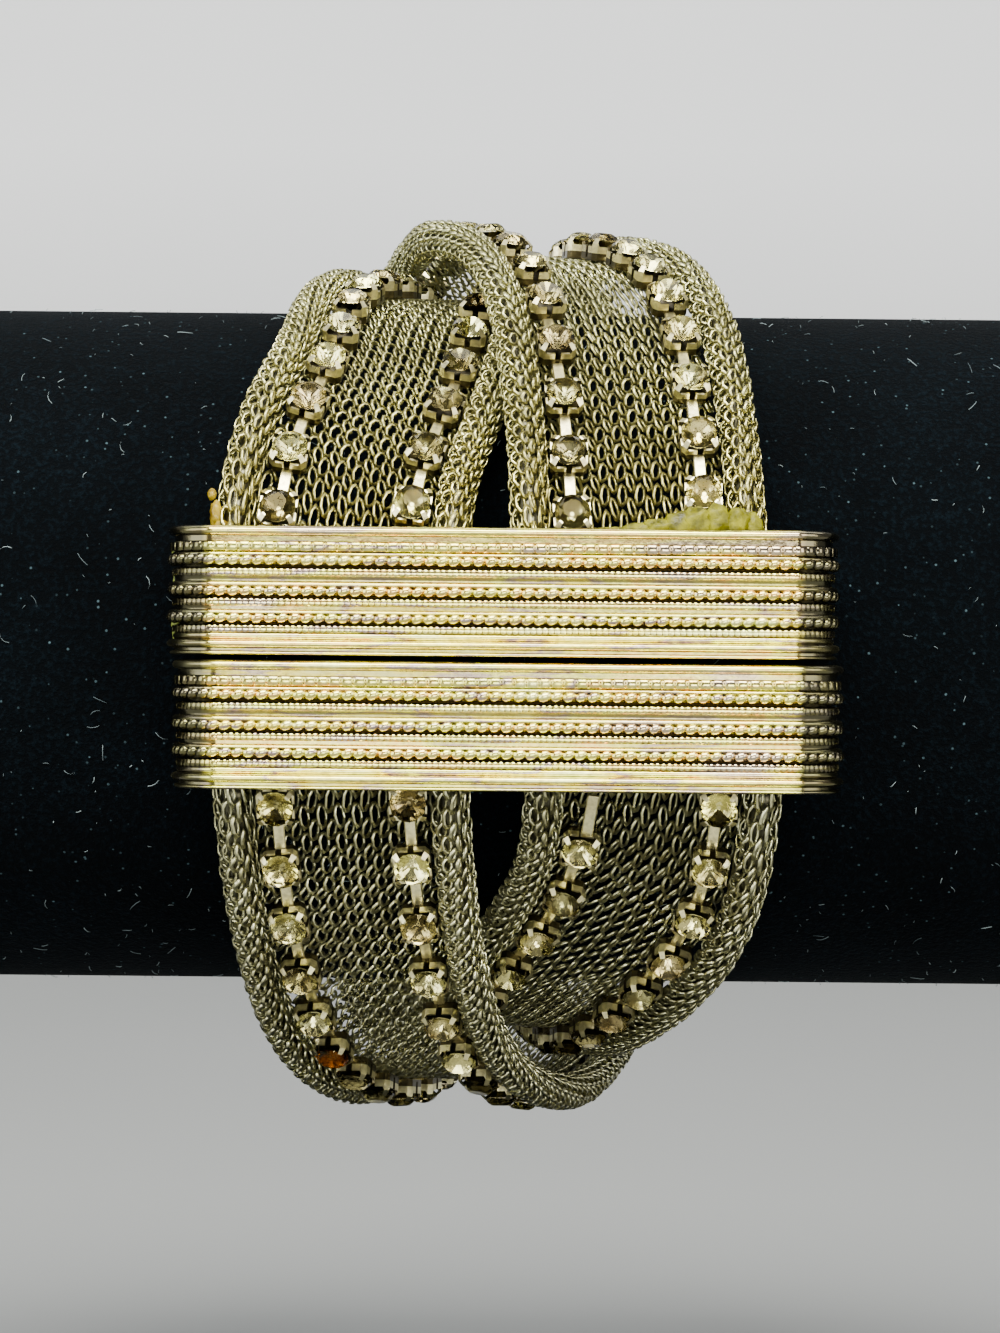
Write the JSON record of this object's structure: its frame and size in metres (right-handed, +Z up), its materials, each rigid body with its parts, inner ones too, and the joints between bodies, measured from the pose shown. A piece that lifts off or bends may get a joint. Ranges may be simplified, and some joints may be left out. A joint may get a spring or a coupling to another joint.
{
  "type": "mesh bracelet on a display bar",
  "caption": "Twisted ring-mesh bracelet with rhinestone cup chains and a ribbed magnetic bar clasp, on a black velvet display bar.",
  "frame": {"origin": "middle of the underside of the display base, on the surface it stands on", "axes": "+Z up, +X along the display bar, -Y out of the clasp's front"},
  "size_m": [0.124, 0.072, 0.1004],
  "materials": {
    "velvet": "black velvet pile",
    "gilt_casting": "worn pale gilt plating, dark in the grooves",
    "ring_mesh": "aged silver wire rings with an olive tarnish",
    "cup_metal": "tarnished pale gilt stone cups",
    "rhinestone": "foiled clear cut stones",
    "glue_residue": "old yellow-green glue"
  },
  "bodies": {
    "root": {"display_bar": "velvet", "display_base": "velvet", "display_post_left": "velvet", "display_post_right": "velvet", "clasp_upper_half": "gilt_casting", "clasp_lower_half": "gilt_casting", "mesh_band_left": "ring_mesh", "mesh_band_right": "ring_mesh", "cup_chain_left_a": "cup_metal", "stones_left_a": "rhinestone", "cup_chain_left_b": "cup_metal", "stones_left_b": "rhinestone", "cup_chain_right_a": "cup_metal", "stones_right_a": "rhinestone", "cup_chain_right_b": "cup_metal", "stones_right_b": "rhinestone"}
  },
  "joints": []
}
